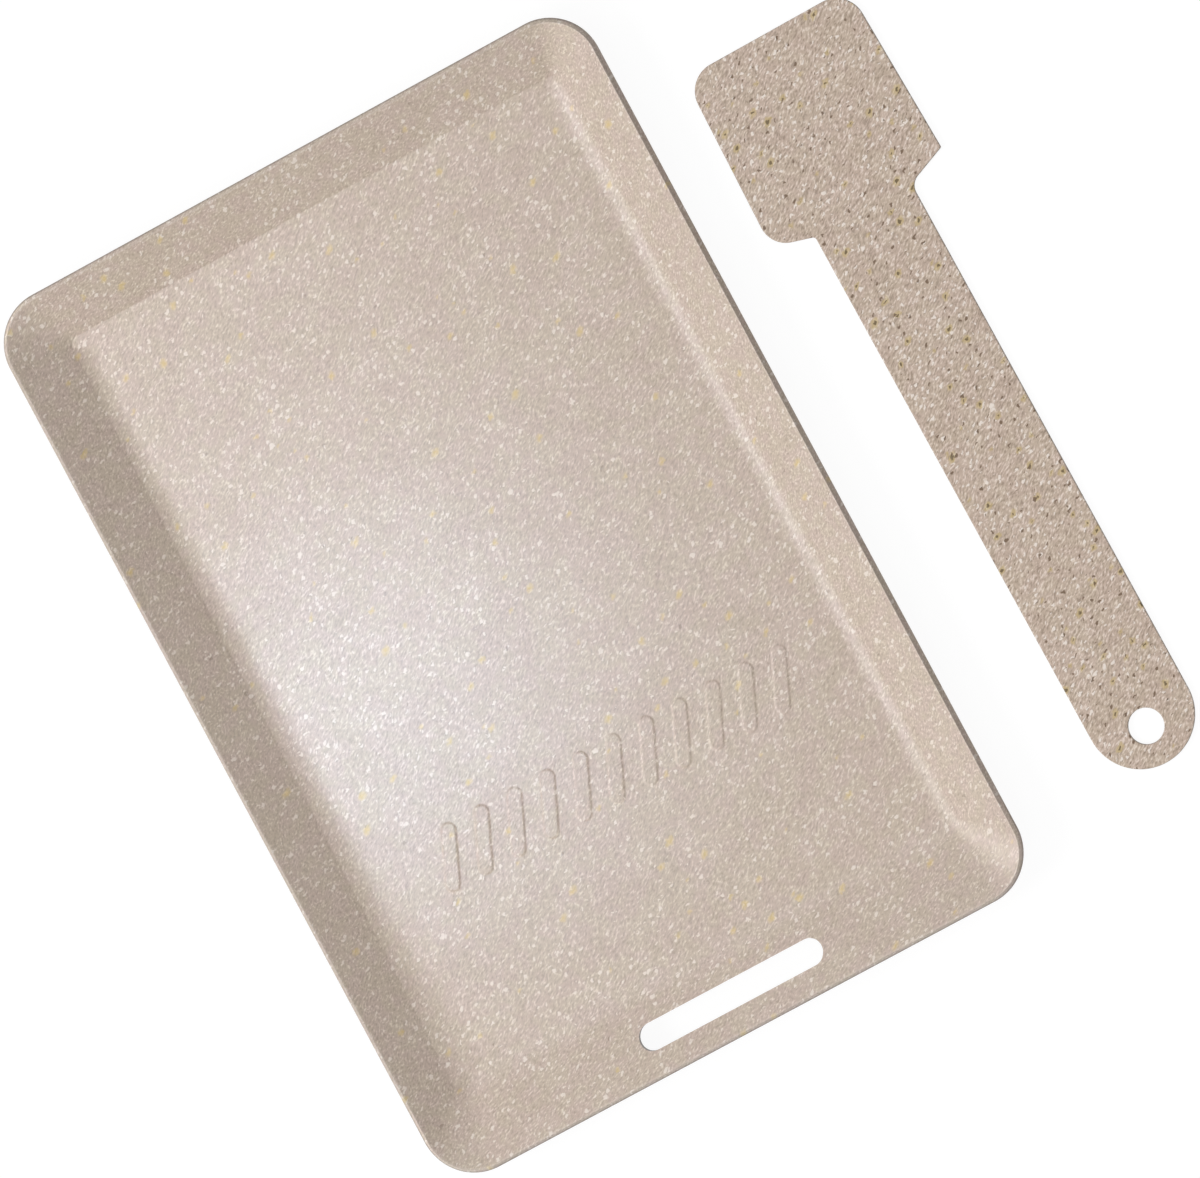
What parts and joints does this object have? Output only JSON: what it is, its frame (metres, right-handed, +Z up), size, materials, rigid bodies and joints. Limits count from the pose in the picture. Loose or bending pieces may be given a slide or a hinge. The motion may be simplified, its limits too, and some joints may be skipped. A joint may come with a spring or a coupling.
{
  "type": "griddle plate",
  "caption": "Shallow rectangular griddle plate pressed from coated sheet, with a lifting slot in one sloping wall and a matching flat scraper beside it.",
  "frame": {"origin": "underside of the plate's floor, at the middle of the plate's length and width", "axes": "+Z up, +Y along the plate away from the lifting slot, +X across the plate towards the scraper"},
  "size_m": [0.188, 0.1998, 0.0092],
  "materials": {
    "plate_coating": "satin stone-effect non-stick coating on sheet steel, beige with cream, dark and ochre flecks",
    "scraper_coating": "satin stone-effect non-stick coating on sheet steel, greyer beige with more dark and ochre flecks"
  },
  "bodies": {
    "plate": {"griddle_plate": "plate_coating"},
    "scraper": {"scraper": "scraper_coating"}
  },
  "joints": [
    {"name": "scraper_lift", "type": "slide", "parent": "plate", "child": "scraper", "axis": [0, 0, 1], "range_m": [0, 0.06]}
  ]
}
